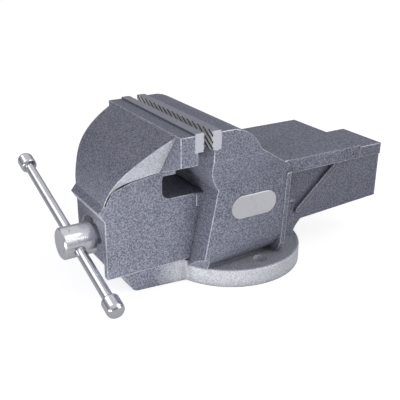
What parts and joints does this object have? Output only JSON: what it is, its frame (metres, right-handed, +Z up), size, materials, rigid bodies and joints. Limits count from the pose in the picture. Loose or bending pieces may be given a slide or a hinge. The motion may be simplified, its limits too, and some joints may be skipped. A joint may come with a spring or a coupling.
{
  "type": "bench vise",
  "caption": "Engineer's bench vise with fixed round base, rear anvil, enclosed slide, screw-driven front jaw and sliding T-handle.",
  "frame": {"origin": "centre of the round base on its underside, where it rests on the bench", "axes": "+Z up; -Y towards the handle; +Y towards the anvil; X across the jaws"},
  "size_m": [0.2392, 0.3788, 0.171],
  "materials": {
    "casting_paint": "hammered enamel, satin",
    "jaw_steel": "ground, hardened",
    "black_screw": "black oxide",
    "polished_steel": "polished",
    "zinc_steel": "zinc plated",
    "spring_steel": "oiled",
    "bare_iron": "as cast",
    "badge_metal": "satin"
  },
  "bodies": {
    "fixed_body": {"fixed_body": "casting_paint", "fixed_jaw_plate": "jaw_steel", "fixed_plate_screws": "black_screw", "main_nut": "bare_iron", "nut_bolt": "zinc_steel", "nut_bolt_washer": "zinc_steel", "name_badge": "badge_metal"},
    "moving_jaw": {"moving_jaw": "casting_paint", "moving_jaw_plate": "jaw_steel", "moving_plate_screws": "black_screw"},
    "clamping_screw": {"spindle": "polished_steel", "thrust_washer": "zinc_steel", "take_up_spring": "spring_steel", "spring_washer": "zinc_steel", "cotter_pin": "zinc_steel"},
    "handle": {"handle_bar": "polished_steel", "handle_knob_low": "polished_steel", "handle_knob_high": "polished_steel"}
  },
  "joints": [
    {"name": "jaw_slide", "type": "slide", "parent": "fixed_body", "child": "moving_jaw", "axis": [0, -1, 0], "range_m": [-0.00852, 0.1414]},
    {"name": "screw_turn", "type": "hinge", "parent": "moving_jaw", "child": "clamping_screw", "pos_m": [0, -0.1779, 0.0587], "axis": [0, -1, 0], "range_deg": [-509, 8477]},
    {"name": "handle_slide", "type": "slide", "parent": "clamping_screw", "child": "handle", "axis": [-0.9593, 0, 0.2823], "range_m": [-0.111, 0.0655]}
  ],
  "couplings": [
    {"joint": "jaw_slide", "follows": "screw_turn", "m_per_rad": 0.00095493}
  ]
}
